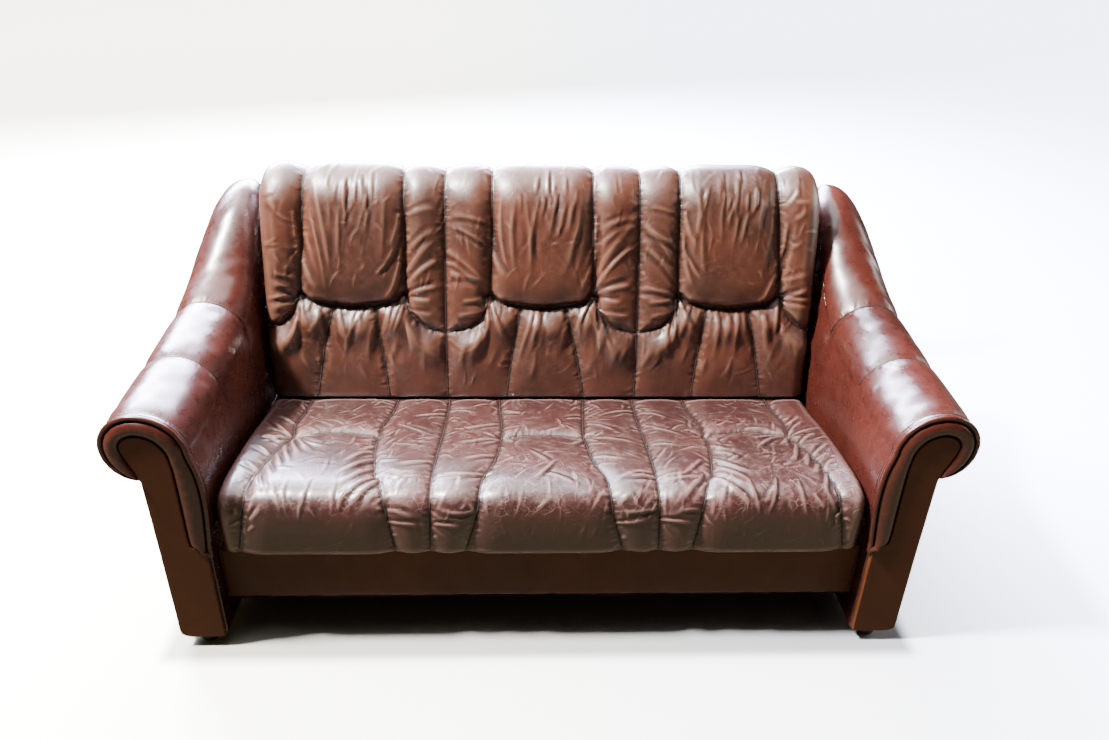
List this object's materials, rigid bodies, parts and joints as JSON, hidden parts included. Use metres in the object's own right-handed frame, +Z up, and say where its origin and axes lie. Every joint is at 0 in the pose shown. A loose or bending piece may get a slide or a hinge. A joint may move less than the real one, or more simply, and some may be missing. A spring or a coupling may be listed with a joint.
{
  "type": "leather sofa",
  "caption": "Worn leather sofa with rolled arms sweeping up to a high, gathered back cushion over a one-piece seat cushion.",
  "frame": {"origin": "on the floor, at the centre of the sofa's box", "axes": "+X to the right as seen from the front, along the sofa's length; +Y from the front towards the back; +Z up"},
  "size_m": [1.8962, 0.854, 0.99],
  "materials": {
    "arm_leather": "glossy oxblood leather, rubbed and lightly creased",
    "seat_leather": "glossy oxblood leather, worn, with fine light crease lines",
    "back_leather": "glossy oxblood leather, gathered and creased",
    "trim_leather": "flat dark red-brown leather, satin",
    "beech": "planed, unfinished",
    "plywood": "sawn, unfinished",
    "foam": "open-cell polyurethane foam",
    "webbing": "woven elastic webbing",
    "cambric": "black non-woven cloth",
    "foot_plastic": "black, satin, scuffed",
    "steel": "zinc plated"
  },
  "bodies": {
    "root": {"right_arm_cover": "arm_leather", "right_arm_padding": "foam", "right_arm_border": "arm_leather", "right_arm_piping": "trim_leather", "right_front_board": "trim_leather", "right_side_panel": "trim_leather", "right_arm_bottom_rail": "beech", "right_arm_top_rail": "beech", "right_arm_front_post": "beech", "right_arm_panel": "plywood", "right_arm_bolt_1": "steel", "right_arm_bolt_2": "steel", "right_front_foot": "foot_plastic", "right_front_foot_screw": "steel", "right_rear_foot": "foot_plastic", "right_rear_foot_screw": "steel", "right_side_rail": "beech", "right_back_post": "beech", "left_arm_cover": "arm_leather", "left_arm_padding": "foam", "left_arm_border": "arm_leather", "left_arm_piping": "trim_leather", "left_front_board": "trim_leather", "left_side_panel": "trim_leather", "left_arm_bottom_rail": "beech", "left_arm_top_rail": "beech", "left_arm_front_post": "beech", "left_arm_panel": "plywood", "left_arm_bolt_1": "steel", "left_arm_bolt_2": "steel", "left_front_foot": "foot_plastic", "left_front_foot_screw": "steel", "left_rear_foot": "foot_plastic", "left_rear_foot_screw": "steel", "left_side_rail": "beech", "left_back_post": "beech", "front_rail": "beech", "front_rail_cover": "trim_leather", "rear_rail": "beech", "centre_stretcher": "beech", "seat_strap_1": "webbing", "seat_strap_2": "webbing", "seat_strap_3": "webbing", "seat_strap_4": "webbing", "seat_strap_5": "webbing", "seat_strap_6": "webbing", "deck_cloth": "cambric", "dust_cover": "cambric", "seat_cover": "seat_leather", "seat_foam": "foam", "lower_back_rail": "beech", "top_back_rail": "beech", "centre_back_post": "beech", "back_strap_1": "webbing", "back_strap_2": "webbing", "back_strap_3": "webbing", "rear_panel": "trim_leather", "back_cover": "back_leather", "back_foam": "foam"}
  },
  "joints": []
}
